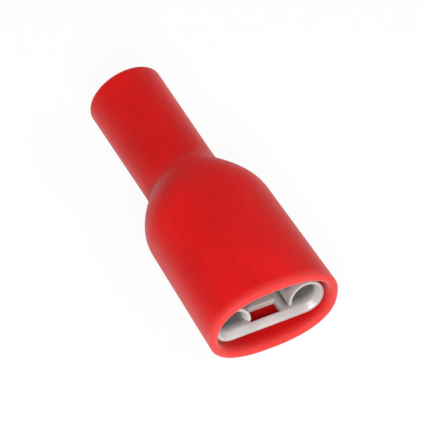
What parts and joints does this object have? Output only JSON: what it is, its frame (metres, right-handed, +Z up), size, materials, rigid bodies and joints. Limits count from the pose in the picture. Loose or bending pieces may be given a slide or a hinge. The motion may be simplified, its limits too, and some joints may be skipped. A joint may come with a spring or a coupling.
{
  "type": "female spade terminal",
  "caption": "Insulated female spade terminal: a soft flat-oval sleeve with a round barrel covers a folded sheet receptacle with rolled wings, a latch tongue and a seamed wire barrel",
  "frame": {"origin": "bottom centre of the bounding box, under the middle of the length", "axes": "the mouth faces -Y, the wire leaves along +Y, X is across the broad face, Z is up from the broad face it lies on"},
  "size_m": [0.0086, 0.0194, 0.006],
  "materials": {
    "red_vinyl": "soft satin vinyl, slightly translucent",
    "tinned_brass": "tin plated, satin"
  },
  "bodies": {
    "root": {"insulating_sleeve": "red_vinyl", "receptacle_terminal": "tinned_brass"}
  },
  "joints": []
}
